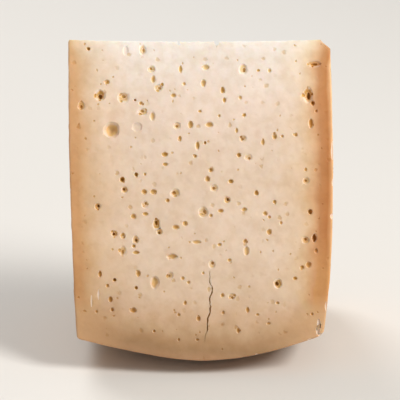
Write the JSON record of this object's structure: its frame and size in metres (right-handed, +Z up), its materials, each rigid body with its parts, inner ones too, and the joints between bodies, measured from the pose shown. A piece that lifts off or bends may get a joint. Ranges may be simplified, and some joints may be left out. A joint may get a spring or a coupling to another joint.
{
  "type": "aged goat cheese wedge",
  "caption": "Wedge of aged goat cheese cut from a round wheel, standing on its heel: pale cut faces with small eyes and a crack, and a rind marked by a cheesecloth.",
  "frame": {"origin": "centre of the small flat spot on the heel that the wedge stands on, which is the centre of its box seen from above", "axes": "+Z up, from the heel to the tip line where the two knife cuts meet; X along the wheel's axis, from the left rind to the right rind; the cut that faces -Y is the front face, which leans back by 20 degrees"},
  "size_m": [0.0909, 0.0752, 0.1093],
  "materials": {
    "cheese": "matt"
  },
  "bodies": {
    "root": {"cheese_wedge": "cheese"}
  },
  "joints": []
}
